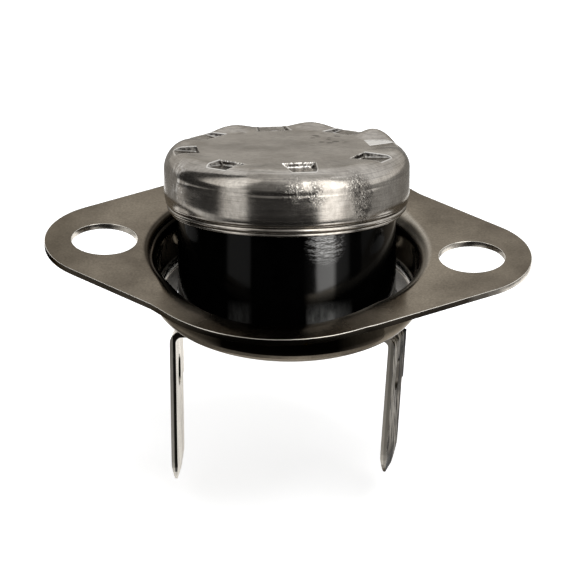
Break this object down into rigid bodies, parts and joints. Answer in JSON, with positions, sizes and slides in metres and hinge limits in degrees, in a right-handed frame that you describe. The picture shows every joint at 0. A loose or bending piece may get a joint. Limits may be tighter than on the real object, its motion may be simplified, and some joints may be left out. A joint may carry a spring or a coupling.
{
  "type": "bimetal_thermostat",
  "caption": "Snap-action bimetal temperature switch with a drawn metal cap, black moulded base, blade terminals and a loose two-hole mounting flange.",
  "frame": {"origin": "middle of the flange, on the upper face of its brim, midway between the screw holes", "axes": "+X along the line of the two screw holes, +Z the normal of the flange towards the cap, +Y from the viewer to the back"},
  "size_m": [0.0318, 0.0234, 0.0238],
  "materials": {
    "flange_steel": "satin nickel plate",
    "cap_metal": "bright drawn sheet",
    "bimetal": "rolled strip",
    "guide_plastic": "matt moulding",
    "pin_ceramic": "matt fired",
    "base_plastic": "glossy phenolic moulding",
    "spring_brass": "rolled strip",
    "contact_silver": "bright silver",
    "rivet_metal": "plated",
    "tab_metal": "nickel plated, tarnished"
  },
  "bodies": {
    "flange": {"mounting_flange": "flange_steel"},
    "switch": {"sensor_cap": "cap_metal", "bimetal_disc": "bimetal", "guide_plate": "guide_plastic", "switch_base": "base_plastic", "fixed_plate": "spring_brass", "fixed_contact": "contact_silver", "rivet_moving": "rivet_metal", "rivet_fixed": "rivet_metal", "terminal_moving": "tab_metal", "terminal_fixed": "tab_metal"},
    "pin": {"transfer_pin": "pin_ceramic"},
    "arm": {"contact_arm": "spring_brass", "moving_contact": "contact_silver"}
  },
  "joints": [
    {"name": "flange_rock", "type": "hinge", "parent": "flange", "child": "switch", "pos_m": [0, 0, -0.00375], "axis": [0.991, 0.134, 0], "range_deg": [0, 30]},
    {"name": "pin_push", "type": "slide", "parent": "switch", "child": "pin", "axis": [0.0347, -0.2565, -0.9659], "range_m": [0, 0.0004]},
    {"name": "arm_rock", "type": "hinge", "parent": "switch", "child": "arm", "pos_m": [0.00416, 0.00103, 0.00019], "axis": [-0.0045, -0.9665, 0.2565], "range_deg": [0, 5.4]}
  ],
  "couplings": [
    {"joint": "arm_rock", "follows": "pin_push", "rad_per_m": 232.56}
  ]
}
